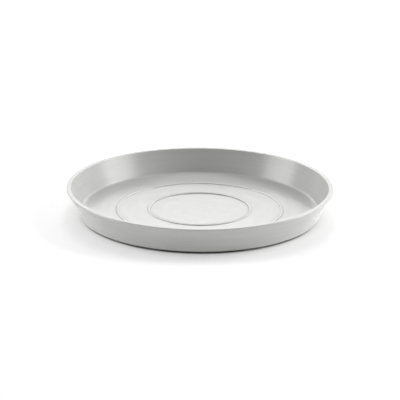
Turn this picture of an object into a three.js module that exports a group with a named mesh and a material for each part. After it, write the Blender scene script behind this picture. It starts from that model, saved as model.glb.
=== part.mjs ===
// Round plant saucer: a shallow moulded dish with a flared wall, a lip that turns outwards and raised
// rings on its floor. It stands on stick-on pads under its base.
// Millimetres, +Z up. The origin is on the ground, under the middle of the dish.
import * as THREE from "three";

// The dish
const rimDiameter = 260; // across the outside of the lip
const innerDepth = 23.5; // from the floor to the top of the lip
const wallFlareDegrees = 22; // lean of the wall from the vertical
const wallThickness = 2.4; // measured level
const floorThickness = 2.7;
const floorFillet = 2.5; // hollow corner between the floor and the wall
const baseRound = 0.6; // lower outer edge

// The lip
const lipOverhang = 2.1; // how far the lip stands out past the line of the outer wall
const lipTurnDegrees = 10; // how much further than the wall the lip's underside leans out
const lipOuterRound = 1.1;
const lipInnerRound = 0.6;
const lipBlendRadius = 43; // hollow curve from the outer wall into the lip's underside

// The rings on the floor, counted inwards from its edge
const ringCount = 2;
const ringInset = 35.6; // from the edge of the floor to the middle of the outermost ring
const ringSpacing = 30.9;
const ringTopWidth = 2.6;
const ringFlank = 0.4; // level run of each sloping side
const ringHeight = 0.7;
const middleDrop = 0.3; // how far the floor inside the last ring lies below the rest

// The stick-on pads
const padCount = 4;
const padDiameter = 20;
const padThickness = 2.4;
const padRound = 0.6; // lower edge
const padInset = 10; // from the edge of the flat base to the edge of a pad

// Fineness
const saucerSides = 72;
const padSides = 40;
const arcTolerance = 0.03; // the furthest that a flat step strays from its arc

// Levels, and radii that follow from the sizes above
const radians = THREE.MathUtils.degToRad;
const flare = radians(wallFlareDegrees);
const lipFlare = radians(wallFlareDegrees + lipTurnDegrees);
const rightAngle = Math.PI / 2;
const baseLevel = padThickness;
const floorLevel = baseLevel + floorThickness;
const middleLevel = floorLevel - middleDrop;
const rimLevel = floorLevel + innerDepth;
const rimRadius = rimDiameter / 2;
const floorRadius = rimRadius - lipOverhang - wallThickness - innerDepth * Math.tan(flare);

// Radius of the straight wall at a height, inside and outside
const innerWallAt = (z) => floorRadius + (z - floorLevel) * Math.tan(flare);
const outerWallAt = (z) => innerWallAt(z) + wallThickness;

// Points of an arc about a centre, from one angle to another, both ends included
function arc(centreRadius, centreLevel, size, from, to) {
  const largestStep = 2 * Math.acos(Math.max(0, 1 - arcTolerance / size));
  const steps = Math.ceil(Math.abs(to - from) / largestStep);
  const points = [];
  for (let i = 0; i <= steps; i++) {
    const angle = from + ((to - from) * i) / steps;
    const radius = centreRadius + size * Math.cos(angle);
    points.push(new THREE.Vector2(radius, centreLevel + size * Math.sin(angle)));
  }
  return points;
}

// Lower outer edge: an arc that touches the flat base and the outer wall
const baseTouch = baseLevel + baseRound * (1 - Math.sin(flare));
const baseFlatRadius = outerWallAt(baseTouch) - baseRound * Math.cos(flare);
const baseEdge = arc(baseFlatRadius, baseLevel + baseRound, baseRound, -rightAngle, -flare);

// Lip: a round outer edge, a straight underside and a hollow blend into the outer wall.
// The blend is no longer than the two straight stretches that it joins.
function lipOutline() {
  const bead = arc(rimRadius - lipOuterRound, rimLevel - lipOuterRound, lipOuterRound, -lipFlare, rightAngle);
  const underside = bead[0];
  const closing = Math.tan(lipFlare) - Math.tan(flare);
  const cornerLevel = underside.y - (underside.x - outerWallAt(underside.y)) / closing;
  const undersideLength = (underside.y - cornerLevel) / Math.cos(lipFlare);
  const wallLength = (cornerLevel - baseTouch) / Math.cos(flare);
  const halfTurn = Math.tan((lipFlare - flare) / 2);
  const blendRadius = Math.min(lipBlendRadius, undersideLength / halfTurn, wallLength / halfTurn);
  const touchLevel = cornerLevel - blendRadius * halfTurn * Math.cos(flare);
  const centreRadius = outerWallAt(touchLevel) + blendRadius * Math.cos(flare);
  const centreLevel = touchLevel - blendRadius * Math.sin(flare);
  const blend = arc(centreRadius, centreLevel, blendRadius, Math.PI - flare, Math.PI - lipFlare);
  return [...blend, ...bead];
}

// Inner edge of the lip, and the hollow corner at the foot of the inner wall
const lipTouch = rimLevel - lipInnerRound * (1 - Math.sin(flare));
const lipInnerRadius = innerWallAt(lipTouch) + lipInnerRound * Math.cos(flare);
const lipInnerLevel = rimLevel - lipInnerRound;
const lipInnerEdge = arc(lipInnerRadius, lipInnerLevel, lipInnerRound, rightAngle, Math.PI - flare);
const filletTouch = floorLevel + floorFillet * (1 - Math.sin(flare));
const filletRadius = innerWallAt(filletTouch) - floorFillet * Math.cos(flare);
const floorCorner = arc(filletRadius, floorLevel + floorFillet, floorFillet, -flare, -rightAngle);

// Rings: low ridges with a flat top and sloping sides, listed inwards. The last one stands round the sunk
// middle of the floor.
function ringOutlines() {
  const points = [];
  const half = ringTopWidth / 2;
  for (let ring = 0; ring < ringCount; ring++) {
    const radius = floorRadius - ringInset - ring * ringSpacing;
    const top = floorLevel + ringHeight;
    const innerFoot = ring === ringCount - 1 ? middleLevel : floorLevel;
    points.push(new THREE.Vector2(radius + half + ringFlank, floorLevel));
    points.push(new THREE.Vector2(radius + half, top));
    points.push(new THREE.Vector2(radius - half, top));
    points.push(new THREE.Vector2(radius - half - ringFlank, innerFoot));
  }
  return points;
}

// A solid turned about +Z from a profile that starts and ends on the axis
function turned(profile, sides) {
  const geometry = new THREE.LatheGeometry(profile, sides);
  geometry.rotateX(rightAngle);
  return geometry;
}

function makeSaucer() {
  const profile = [
    new THREE.Vector2(0, baseLevel),
    ...baseEdge,
    ...lipOutline(),
    ...lipInnerEdge,
    ...floorCorner,
    ...ringOutlines(),
    new THREE.Vector2(0, middleLevel),
  ];
  const plastic = new THREE.MeshStandardMaterial({ color: 0xc3c3c1, roughness: 0.3, metalness: 0 });
  const mesh = new THREE.Mesh(turned(profile, saucerSides), plastic);
  mesh.name = "saucer";
  return mesh;
}

function makePad(number) {
  const radius = padDiameter / 2;
  const profile = [
    new THREE.Vector2(0, 0),
    ...arc(radius - padRound, padRound, padRound, -rightAngle, 0),
    new THREE.Vector2(radius, padThickness),
    new THREE.Vector2(0, padThickness),
  ];
  const rubber = new THREE.MeshStandardMaterial({ color: 0x3a3a3a, roughness: 0.85, metalness: 0 });
  const mesh = new THREE.Mesh(turned(profile, padSides), rubber);
  mesh.name = `floor_pad_${number}`;
  const circle = baseFlatRadius - padInset - radius;
  const angle = ((number - 0.5) * 2 * Math.PI) / padCount;
  mesh.position.set(circle * Math.cos(angle), circle * Math.sin(angle), 0);
  return mesh;
}

const saucer = new THREE.Group();
saucer.add(makeSaucer());
for (let number = 1; number <= padCount; number++) {
  saucer.add(makePad(number));
}

export default saucer;
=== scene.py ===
import math

import bpy
import numpy as np
from mathutils import Matrix, Vector


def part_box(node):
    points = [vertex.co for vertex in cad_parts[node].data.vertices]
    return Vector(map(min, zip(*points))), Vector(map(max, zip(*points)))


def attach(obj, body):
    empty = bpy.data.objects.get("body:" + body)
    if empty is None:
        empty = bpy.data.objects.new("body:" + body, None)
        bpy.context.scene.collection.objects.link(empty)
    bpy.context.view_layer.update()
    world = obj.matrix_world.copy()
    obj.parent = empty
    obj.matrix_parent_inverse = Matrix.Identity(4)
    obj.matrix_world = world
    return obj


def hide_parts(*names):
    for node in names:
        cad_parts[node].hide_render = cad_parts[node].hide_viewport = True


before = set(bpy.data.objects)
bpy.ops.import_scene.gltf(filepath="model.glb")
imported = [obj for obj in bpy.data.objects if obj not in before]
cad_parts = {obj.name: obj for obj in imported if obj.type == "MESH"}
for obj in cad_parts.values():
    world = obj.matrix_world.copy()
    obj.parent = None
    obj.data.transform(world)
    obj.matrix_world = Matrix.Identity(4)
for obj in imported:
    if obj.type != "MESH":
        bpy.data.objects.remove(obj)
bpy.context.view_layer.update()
print("frame:", sorted(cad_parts))

mm = 0.001
quarter = math.pi / 2


def newObject(name, data):
    made = bpy.data.objects.new(name, data)
    bpy.context.scene.collection.objects.link(made)
    return made


# Camera: the photograph's viewpoint, in metres and degrees, for a square image
cameraView = {
    "place": (0.0, -1.856, 0.6317),
    "pitchDown": 18.409,
    "turn": 0.0057,
    "roll": 0.424,
    "lens": 180.0,  # in millimetres, as the sensor is
    "sensor": 36.0,
}


def makeCamera(view):
    # Roll about its own line of sight, then tilt from straight down to the pitch, then turn about +Z
    data = bpy.data.cameras.new("camera")
    data.lens = view["lens"]
    data.sensor_width = view["sensor"]
    turn = Matrix.Rotation(-math.radians(view["turn"]), 4, "Z")
    tilt = Matrix.Rotation(math.radians(90 - view["pitchDown"]), 4, "X")
    roll = Matrix.Rotation(math.radians(view["roll"]), 4, "Z")
    camera = newObject("camera", data)
    camera.matrix_world = Matrix.Translation(view["place"]) @ turn @ tilt @ roll
    bpy.context.scene.camera = camera


makeCamera(cameraView)
print("camera: placed")


# Small tools for profiles. A profile is an array of (radius, height) rows.
def smoothStep(t):
    # 0 below 0, 1 above 1, and 3t^2 - 2t^3 between
    t = np.clip(t, 0.0, 1.0)
    return t * t * (3.0 - 2.0 * t)


def arc(centre, size, start, end, steps):
    # centre + size * (cos a, sin a), for a from start to end
    a = np.linspace(start, end, steps + 1)
    return np.stack([centre[0] + size * np.cos(a), centre[1] + size * np.sin(a)], axis=1)


def straight(a, b, inner, edge):
    # a + (b - a) t, for even inner steps of t and one point close to each end, which holds the shading
    # of the curve that joins it there
    a, b = np.asarray(a, float), np.asarray(b, float)
    share = edge / np.linalg.norm(b - a)
    t = np.concatenate([[share], np.linspace(0.0, 1.0, inner + 2)[1:-1], [1.0 - share]])
    return a + (b - a) * t[:, None]


def turnedMesh(name, profile, sides, centre=(0.0, 0.0)):
    # Each profile row (r, z) runs round the axis as (r cos a, r sin a, z).
    # The first and last rows lie on the axis, and a fan of triangles closes each.
    rings = profile[1:-1]
    a = np.arange(sides) * (2 * np.pi / sides)
    ring = np.stack([np.cos(a), np.sin(a)], axis=1)
    points = np.empty((len(rings), sides, 3))
    points[..., :2] = rings[:, None, :1] * ring[None] + np.asarray(centre)
    points[..., 2] = rings[:, None, 1]
    poles = np.array([[*centre, profile[0, 1]], [*centre, profile[-1, 1]]])
    vertices = np.concatenate([points.reshape(-1, 3), poles])
    index = np.arange(len(rings) * sides).reshape(len(rings), sides)
    after = np.roll(index, -1, axis=1)
    quads = np.stack([index[:-1], after[:-1], after[1:], index[1:]], axis=-1).reshape(-1, 4)
    low = np.full(sides, len(vertices) - 2)
    high = np.full(sides, len(vertices) - 1)
    lowFan = np.stack([low, after[0], index[0]], axis=1)
    highFan = np.stack([index[-1], after[-1], high], axis=1)
    mesh = bpy.data.meshes.new(name)
    mesh.from_pydata(vertices.tolist(), [], quads.tolist() + lowFan.tolist() + highFan.tolist())
    mesh.polygons.foreach_set("use_smooth", np.ones(len(mesh.polygons), bool))
    mesh.update()
    return newObject(name, mesh)


# Small tools for materials
def newMaterial(name):
    material = bpy.data.materials.new(name)
    material.use_nodes = True
    material.node_tree.nodes.clear()
    return material, material.node_tree


def addNode(tree, kind, values=None, **settings):
    # values go to its input sockets, settings to the node itself
    made = tree.nodes.new(kind)
    for key, value in settings.items():
        setattr(made, key, value)
    for key, value in (values or {}).items():
        made.inputs[key].default_value = value
    return made


def mathNode(tree, operation, a, b):
    # a and b are sockets or plain numbers
    made = addNode(tree, "ShaderNodeMath", operation=operation)
    for socket, value in zip(made.inputs, (a, b)):
        if isinstance(value, (int, float)):
            socket.default_value = value
        else:
            tree.links.new(value, socket)
    return made.outputs[0]


def mixColours(tree, factor, a, b):
    # a where the factor is 0 and b where it is 1; a and b are sockets or plain colours
    made = addNode(tree, "ShaderNodeMix", data_type="RGBA")
    tree.links.new(factor, made.inputs["Factor"])
    for key, value in (("A", a), ("B", b)):
        if isinstance(value, tuple):
            made.inputs[key].default_value = value
        else:
            tree.links.new(value, made.inputs[key])
    return made.outputs["Result"]


def noiseAt(tree, place, scale, detail, roughness):
    # smooth noise from 0 to 1, with finer layers on it as the detail says
    made = addNode(tree, "ShaderNodeTexNoise", {"Scale": scale, "Detail": detail, "Roughness": roughness})
    tree.links.new(place, made.inputs["Vector"])
    return made.outputs["Fac"]


def bumpFrom(tree, height, strength, depth):
    # a height of 1 stands for this depth, in millimetres
    made = addNode(tree, "ShaderNodeBump", {"Strength": strength, "Distance": depth * mm})
    tree.links.new(height, made.inputs["Height"])
    return made.outputs["Normal"]


def showSurface(tree, shader, outputKind="ShaderNodeOutputMaterial"):
    output = addNode(tree, outputKind)
    tree.links.new(shader.outputs[0], output.inputs["Surface"])


# Saucer plastic: light grey satin moulding with fine streaks that run round the axis
plasticLook = {
    "colour": (0.59, 0.59, 0.578, 1.0),
    "streakColour": (0.515, 0.515, 0.504, 1.0),
    "roughness": 0.25,
    "roughnessSpread": 0.015,
    "refraction": 1.5,
    "streakRound": 2.2,  # noise cells per unit of heading, round the axis
    "streakAcross": 500.0,  # noise cells per metre, across the streaks
    "streakDetail": 1.0,
    "floorShare": 0.25,  # share of the radius in the distance across, so streaks are wider on the floor
    "grainScale": 1500.0,
    "grainDetail": 2.0,
    "grainShare": 0.5,  # height of the grain against the streaks
    "noiseRoughness": 0.5,
    "bump": 0.03,
    "bumpDepth": 0.05,  # millimetres
}


def streakPlace(tree, place, look):
    # (heading x, heading y, height + a share of the radius), each times its count of noise cells
    apart = addNode(tree, "ShaderNodeSeparateXYZ")
    tree.links.new(place, apart.inputs[0])
    level = addNode(tree, "ShaderNodeCombineXYZ")
    tree.links.new(apart.outputs["X"], level.inputs["X"])
    tree.links.new(apart.outputs["Y"], level.inputs["Y"])
    radius = addNode(tree, "ShaderNodeVectorMath", operation="LENGTH")
    tree.links.new(level.outputs[0], radius.inputs[0])
    heading = addNode(tree, "ShaderNodeVectorMath", operation="NORMALIZE")
    tree.links.new(level.outputs[0], heading.inputs[0])
    around = addNode(tree, "ShaderNodeSeparateXYZ")
    tree.links.new(heading.outputs[0], around.inputs[0])
    outwards = mathNode(tree, "MULTIPLY", radius.outputs["Value"], look["floorShare"])
    across = mathNode(tree, "ADD", outwards, apart.outputs["Z"])
    scaled = addNode(tree, "ShaderNodeCombineXYZ")
    for axis in ("X", "Y"):
        along = mathNode(tree, "MULTIPLY", around.outputs[axis], look["streakRound"])
        tree.links.new(along, scaled.inputs[axis])
    tree.links.new(mathNode(tree, "MULTIPLY", across, look["streakAcross"]), scaled.inputs["Z"])
    return scaled.outputs[0]


def saucerPlastic(look):
    material, tree = newMaterial("saucerPlastic")
    place = addNode(tree, "ShaderNodeTexCoord").outputs["Object"]
    # the streaks' place is already scaled, so their noise has a scale of 1
    streakSpace = streakPlace(tree, place, look)
    streak = noiseAt(tree, streakSpace, 1.0, look["streakDetail"], look["noiseRoughness"])
    grain = noiseAt(tree, place, look["grainScale"], look["grainDetail"], look["noiseRoughness"])
    # colour: the two greys mixed by the streaks
    colour = mixColours(tree, streak, look["streakColour"], look["colour"])
    # roughness: a little higher where the streaks are pale; 0.5 is the mean of the noise
    fromMean = mathNode(tree, "SUBTRACT", streak, 0.5)
    spread = mathNode(tree, "MULTIPLY", fromMean, 2 * look["roughnessSpread"])
    roughness = mathNode(tree, "ADD", spread, look["roughness"])
    # bump: streaks with a finer grain on them
    height = mathNode(tree, "ADD", streak, mathNode(tree, "MULTIPLY", grain, look["grainShare"]))
    shader = addNode(tree, "ShaderNodeBsdfPrincipled", {"IOR": look["refraction"]})
    tree.links.new(colour, shader.inputs["Base Color"])
    tree.links.new(roughness, shader.inputs["Roughness"])
    tree.links.new(bumpFrom(tree, height, look["bump"], look["bumpDepth"]), shader.inputs["Normal"])
    showSurface(tree, shader)
    return material


# The saucer, in millimetres and degrees. Its rim and levels come from the frame.
saucerShape = {
    "sides": 512,
    "floorThickness": 2.7,
    "wallThickness": 2.4,
    "wallFlare": 22.0,
    "floorFillet": 2.5,
    "baseRound": 0.6,
    "lipOverhang": 2.1,
    "lipTurn": 10.0,
    "lipOuterRound": 1.1,
    "lipInnerRound": 0.6,
    "lipBlend": 43.0,
    "ringInset": 35.6,
    "ringSpacing": 30.9,
    "ringTop": 2.6,
    "ringFlank": 0.4,
    "ringHeight": 0.7,
    "ringCount": 2,
    "middleDrop": 0.3,
    "gateDish": 4.0,  # radius of the shallow dish where the moulding was filled
    "gateDepth": 0.3,
    "gateSlope": 0.8,
    "gateNub": 1.1,  # radius of the nub in its middle
    "gateNubHeight": 0.25,
    "gateNubSlope": 0.5,
    "gateFirst": 0.3,  # the first and last rings of points there
    "gateReach": 6.0,
    "edge": 0.25,  # from the end of a straight stretch to the point that holds its shading
    "steps": {  # of each arc or smooth step, and the inner points of each straight stretch
        "gate": 14,  # rings of points
        "underside": 6,
        "baseEdge": 8,
        "outerWall": 4,
        "lipBlend": 12,
        "lipUnderside": 1,
        "lipBead": 18,
        "lipTop": 1,
        "lipEdge": 8,
        "innerWall": 6,
        "foot": 10,
        "floor": 3,
        "ringFlank": 8,
        "middle": 4,
    },
}


def gateOutline(shape, baseLevel):
    # Middle of the underside: its level + a shallow dish - a nub, each a smooth step of the radius
    rings = np.linspace(shape["gateFirst"], shape["gateReach"], shape["steps"]["gate"])
    r = np.concatenate([[0.0], rings])
    dish = shape["gateDepth"] * smoothStep((shape["gateDish"] - r) / shape["gateSlope"] + 1)
    nub = shape["gateNubHeight"] * smoothStep((shape["gateNub"] - r) / shape["gateNubSlope"] + 1)
    return np.stack([r, baseLevel + dish - nub], axis=1)


def ringOutlines(shape, floorRadius, floorLevel):
    # Rings, listed inwards: a flat top with sides that rise as a smooth step. The floor inside the last
    # one is sunk.
    reach = shape["ringTop"] / 2 + shape["ringFlank"]
    side = np.linspace(0.0, 1.0, shape["steps"]["ringFlank"] + 1)
    away = np.concatenate([reach - side * shape["ringFlank"], side[::-1] * shape["ringFlank"] - reach])
    lift = smoothStep((reach - np.abs(away)) / shape["ringFlank"])
    rings = []
    for i in range(shape["ringCount"]):
        middle = floorRadius - shape["ringInset"] - i * shape["ringSpacing"]
        drop = shape["middleDrop"] if i == shape["ringCount"] - 1 else 0.0
        sunk = np.where(away < 0, drop, 0.0)
        level = floorLevel - sunk + (shape["ringHeight"] + sunk) * lift
        rings.append(np.stack([middle + away, level], axis=1))
    return rings


def saucerProfile(shape, rimRadius, baseLevel, rimLevel):
    # From the middle of the underside out, up the outer wall, over the lip, down the inner wall
    # and in over the floor to its middle
    steps = shape["steps"]
    edge = shape["edge"]
    flare = math.radians(shape["wallFlare"])
    lipFlare = math.radians(shape["wallFlare"] + shape["lipTurn"])
    lean = math.tan(flare)
    floorLevel = baseLevel + shape["floorThickness"]
    depth = rimLevel - floorLevel
    floorRadius = rimRadius - shape["lipOverhang"] - shape["wallThickness"] - depth * lean

    # radius of the straight wall at a height, inside and outside
    def innerWall(z):
        return floorRadius + (z - floorLevel) * lean

    def outerWall(z):
        return innerWall(z) + shape["wallThickness"]

    # lower outer edge: an arc that touches the flat base and the outer wall
    baseTouch = baseLevel + shape["baseRound"] * (1 - math.sin(flare))
    baseFlat = outerWall(baseTouch) - shape["baseRound"] * math.cos(flare)
    baseCentre = (baseFlat, baseLevel + shape["baseRound"])
    baseEdge = arc(baseCentre, shape["baseRound"], -quarter, -flare, steps["baseEdge"])

    # lip: round outer edge, straight underside, hollow blend into the outer wall
    beadCentre = (rimRadius - shape["lipOuterRound"], rimLevel - shape["lipOuterRound"])
    bead = arc(beadCentre, shape["lipOuterRound"], -lipFlare, quarter, steps["lipBead"])
    under = bead[0]
    corner = under[1] - (under[0] - outerWall(under[1])) / (math.tan(lipFlare) - lean)
    blendTouch = corner - shape["lipBlend"] * math.tan((lipFlare - flare) / 2) * math.cos(flare)
    blendCentre = (
        outerWall(blendTouch) + shape["lipBlend"] * math.cos(flare),
        blendTouch - shape["lipBlend"] * math.sin(flare),
    )
    blend = arc(blendCentre, shape["lipBlend"], math.pi - flare, math.pi - lipFlare, steps["lipBlend"])

    # inner edge of the lip, and the hollow corner at the foot of the inner wall
    lipTouch = rimLevel - shape["lipInnerRound"] * (1 - math.sin(flare))
    lipRadius = innerWall(lipTouch) + shape["lipInnerRound"] * math.cos(flare)
    lipCentre = (lipRadius, rimLevel - shape["lipInnerRound"])
    lipEdge = arc(lipCentre, shape["lipInnerRound"], quarter, math.pi - flare, steps["lipEdge"])
    footTouch = floorLevel + shape["floorFillet"] * (1 - math.sin(flare))
    footRadius = innerWall(footTouch) - shape["floorFillet"] * math.cos(flare)
    footCentre = (footRadius, floorLevel + shape["floorFillet"])
    foot = arc(footCentre, shape["floorFillet"], -flare, -quarter, steps["foot"])

    gate = gateOutline(shape, baseLevel)
    middle = np.array([[0.0, floorLevel - shape["middleDrop"]]])
    floorRun = [foot]
    for ring in ringOutlines(shape, floorRadius, floorLevel):
        floorRun += [straight(floorRun[-1][-1], ring[0], steps["floor"], edge), ring]
    return np.concatenate([
        gate,
        straight(gate[-1], baseEdge[0], steps["underside"], edge),
        baseEdge,
        straight(baseEdge[-1], blend[0], steps["outerWall"], edge),
        blend,
        straight(blend[-1], bead[0], steps["lipUnderside"], edge),
        bead,
        straight(bead[-1], lipEdge[0], steps["lipTop"], edge),
        lipEdge,
        straight(lipEdge[-1], foot[0], steps["innerWall"], edge),
        *floorRun,
        straight(floorRun[-1][-1], middle[0], steps["middle"], edge),
        middle,
    ])


def makeSaucer(shape):
    low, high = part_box("saucer")
    profile = saucerProfile(shape, high.x / mm, low.z / mm, high.z / mm) * mm
    piece = turnedMesh("saucerMoulding", profile, shape["sides"])
    piece.data.materials.append(saucerPlastic(plasticLook))
    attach(piece, "root")
    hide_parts("saucer")


makeSaucer(saucerShape)
print("saucer: made")


# Pad rubber: dark matt rubber with a fine pebbled skin
rubberLook = {
    "colour": (0.055, 0.055, 0.054, 1.0),
    "paleColour": (0.085, 0.085, 0.083, 1.0),
    "roughness": 0.78,
    "pebble": 1400.0,
    "pebbleDetail": 3.0,
    "pebbleRoughness": 0.55,
    "bump": 0.35,
    "bumpDepth": 0.1,  # millimetres
}


def padRubber(look):
    material, tree = newMaterial("padRubber")
    place = addNode(tree, "ShaderNodeTexCoord").outputs["Object"]
    pebble = noiseAt(tree, place, look["pebble"], look["pebbleDetail"], look["pebbleRoughness"])
    colour = mixColours(tree, pebble, look["colour"], look["paleColour"])
    shader = addNode(tree, "ShaderNodeBsdfPrincipled", {"Roughness": look["roughness"]})
    tree.links.new(colour, shader.inputs["Base Color"])
    tree.links.new(bumpFrom(tree, pebble, look["bump"], look["bumpDepth"]), shader.inputs["Normal"])
    showSurface(tree, shader)
    return material


# The pads, in millimetres. Each one's place, diameter and thickness come from the frame.
padShape = {
    "sides": 128,
    "lowerRound": 0.6,
    "upperRound": 0.2,
    "film": 0.18,
    "filmInset": 0.35,
    "hub": 0.5,  # where the flat faces start, near the middle
    "edge": 0.15,
    "steps": {  # of each arc, and the inner points of each straight stretch
        "underside": 3,
        "lowerEdge": 8,
        "side": 2,
        "upperEdge": 5,
        "top": 2,
    },
}


def padProfile(shape, radius, thickness):
    # Flat underside, round lower edge, upright side, small upper edge, and the thin film of glue above it
    steps = shape["steps"]
    edge = shape["edge"]
    lowerCentre = (radius - shape["lowerRound"], shape["lowerRound"])
    lower = arc(lowerCentre, shape["lowerRound"], -quarter, 0.0, steps["lowerEdge"])
    shoulder = thickness - shape["film"]
    upperCentre = (radius - shape["upperRound"], shoulder - shape["upperRound"])
    upper = arc(upperCentre, shape["upperRound"], 0.0, quarter, steps["upperEdge"])
    film = np.array([[radius - shape["filmInset"], shoulder], [radius - shape["filmInset"], thickness]])
    return np.concatenate([
        [[0.0, 0.0]],
        straight((shape["hub"], 0.0), lower[0], steps["underside"], edge),
        lower,
        straight(lower[-1], upper[0], steps["side"], edge),
        upper,
        film,
        straight(film[-1], (shape["hub"], thickness), steps["top"], edge),
        [[0.0, thickness]],
    ])


def makePads(shape):
    rubber = padRubber(rubberLook)
    for name in sorted(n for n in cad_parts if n.startswith("floor_pad_")):
        low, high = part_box(name)
        centre = ((low.x + high.x) / 2, (low.y + high.y) / 2)
        profile = padProfile(shape, (high.x - low.x) / 2 / mm, (high.z - low.z) / mm) * mm
        piece = turnedMesh(name + "_rubber", profile, shape["sides"], centre)
        piece.data.materials.append(rubber)
        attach(piece, "root")
        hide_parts(name)


makePads(padShape)
print("pads: made")


# Stage: a white floor that keeps the shadow. The camera sees part of it as shadow and part as an even white
# glow that fades near and under the saucer, following ambient occlusion, as painted shade. Mirror-like rays
# see it white.
floorLook = {
    "half": 4.0,  # metres
    "bounced": (1.0, 1.0, 1.0, 1.0),
    "mirrored": (1.45, 1.45, 1.45, 1.0),
    "seen": (0.56, 0.56, 0.56, 1.0),
    # strength of the camera-only white glow, which ambient occlusion fades into painted shade near the
    # saucer
    "seenWhite": 0.61,
    "shadeReach": 0.2,  # metres
    "shadeStart": 0.2,
    "shadeEase": 0.33,
}


def seenDirectly(tree):
    # 1 for camera, glossy and transmission rays, 0 for the rest
    path = addNode(tree, "ShaderNodeLightPath")
    sharp = mathNode(tree, "MAXIMUM", path.outputs["Is Glossy Ray"], path.outputs["Is Transmission Ray"])
    return mathNode(tree, "MAXIMUM", path.outputs["Is Camera Ray"], sharp)


def floorWhite(look):
    material, tree = newMaterial("floorWhite")
    camera = addNode(tree, "ShaderNodeLightPath").outputs["Is Camera Ray"]
    mirrored = mixColours(tree, seenDirectly(tree), look["bounced"], look["mirrored"])
    shader = addNode(tree, "ShaderNodeBsdfDiffuse")
    tree.links.new(mixColours(tree, camera, mirrored, look["seen"]), shader.inputs["Color"])
    # painted shade: an even white glow for camera rays alone, strength * ((openness - start) / (1 - start))
    # ^ ease, fading with ambient occlusion near the saucer
    openness = addNode(tree, "ShaderNodeAmbientOcclusion", {"Distance": look["shadeReach"]}).outputs["AO"]
    past = mathNode(tree, "MAXIMUM", mathNode(tree, "SUBTRACT", openness, look["shadeStart"]), 0.0)
    share = mathNode(tree, "DIVIDE", past, 1 - look["shadeStart"])
    eased = mathNode(tree, "POWER", share, look["shadeEase"])
    strength = mathNode(tree, "MULTIPLY", eased, look["seenWhite"])
    white = addNode(tree, "ShaderNodeEmission")
    tree.links.new(mathNode(tree, "MULTIPLY", strength, camera), white.inputs["Strength"])
    both = addNode(tree, "ShaderNodeAddShader")
    tree.links.new(shader.outputs[0], both.inputs[0])
    tree.links.new(white.outputs[0], both.inputs[1])
    showSurface(tree, both)
    material.cycles.emission_sampling = "NONE"  # the white is only seen and lights nothing
    return material


def makeFloor(look):
    # a level square, 2 * half on each side
    half = look["half"]
    corners = [(-half, -half, 0), (half, -half, 0), (half, half, 0), (-half, half, 0)]
    mesh = bpy.data.meshes.new("floor")
    mesh.from_pydata(corners, [], [(0, 1, 2, 3)])
    mesh.materials.append(floorWhite(look))
    newObject("floor", mesh)


makeFloor(floorLook)


# Studio lights: soft boxes that face the saucer, with sizes in metres. Heading 0 is the camera's side,
# 90 the right and 180 the back, and the height is in degrees above the floor.
lampAim = {"target": (0.0, 0.0, 0.01), "reach": 1.5}
studioLights = {
    "rightLow": {"heading": 87, "height": 18, "size": (0.95, 0.45), "watts": 8.7},
    "rightHigh": {"heading": 106, "height": 35, "size": (0.75, 0.45), "watts": 11.0},
    "rightBack": {"heading": 118, "height": 9, "size": (0.7, 0.3), "watts": 0.5},
    "leftLow": {"heading": 275, "height": 18, "size": (0.85, 0.45), "watts": 7.4},
    "leftHigh": {"heading": 257, "height": 36, "size": (0.5, 0.45), "watts": 6.4},
    "back": {"heading": 180, "height": 27.5, "size": (1.1, 0.35), "watts": 4.7},
    "backRight": {"heading": 142, "height": 26, "size": (0.5, 0.4), "watts": 0.6},
    "backLeft": {"heading": 218, "height": 26, "size": (0.5, 0.4), "watts": 1.2},
    "top": {"heading": 180, "height": 62, "size": (0.6, 0.5), "watts": 5.2},
    "frontCard": {"heading": 0, "height": 0.3, "size": (1.2, 0.034), "watts": 4.4},
}


def makeLights(lights, aim):
    # Each lamp stands at target + reach * (sin h cos v, -cos h cos v, sin v), for heading h and height v
    target = Vector(aim["target"])
    for name, box in lights.items():
        data = bpy.data.lights.new(name, "AREA")
        data.shape = "RECTANGLE"
        data.size, data.size_y = box["size"]
        data.energy = box["watts"]
        heading, height = math.radians(box["heading"]), math.radians(box["height"])
        level = math.cos(height)
        away = Vector((math.sin(heading) * level, -math.cos(heading) * level, math.sin(height)))
        lamp = newObject(name, data)
        lamp.location = target + away * aim["reach"]
        lamp.rotation_euler = (-away).to_track_quat("-Z", "Y").to_euler()


# World: white where it is seen, and almost no light from it
worldLook = {"light": (1.0, 1.0, 1.0, 1.0), "lightStrength": 0.02, "seenStrength": 1.0}


def makeWorld(look):
    world = bpy.data.worlds.new("studio")
    world.use_nodes = True
    tree = world.node_tree
    tree.nodes.clear()
    sky = addNode(tree, "ShaderNodeBackground", {"Color": look["light"]})
    difference = look["seenStrength"] - look["lightStrength"]
    extra = mathNode(tree, "MULTIPLY", seenDirectly(tree), difference)
    tree.links.new(mathNode(tree, "ADD", extra, look["lightStrength"]), sky.inputs["Strength"])
    showSurface(tree, sky, "ShaderNodeOutputWorld")
    bpy.context.scene.world = world


makeLights(studioLights, lampAim)
makeWorld(worldLook)
bpy.context.scene.view_settings.view_transform = "Standard"
print("stage: floor and lights set")
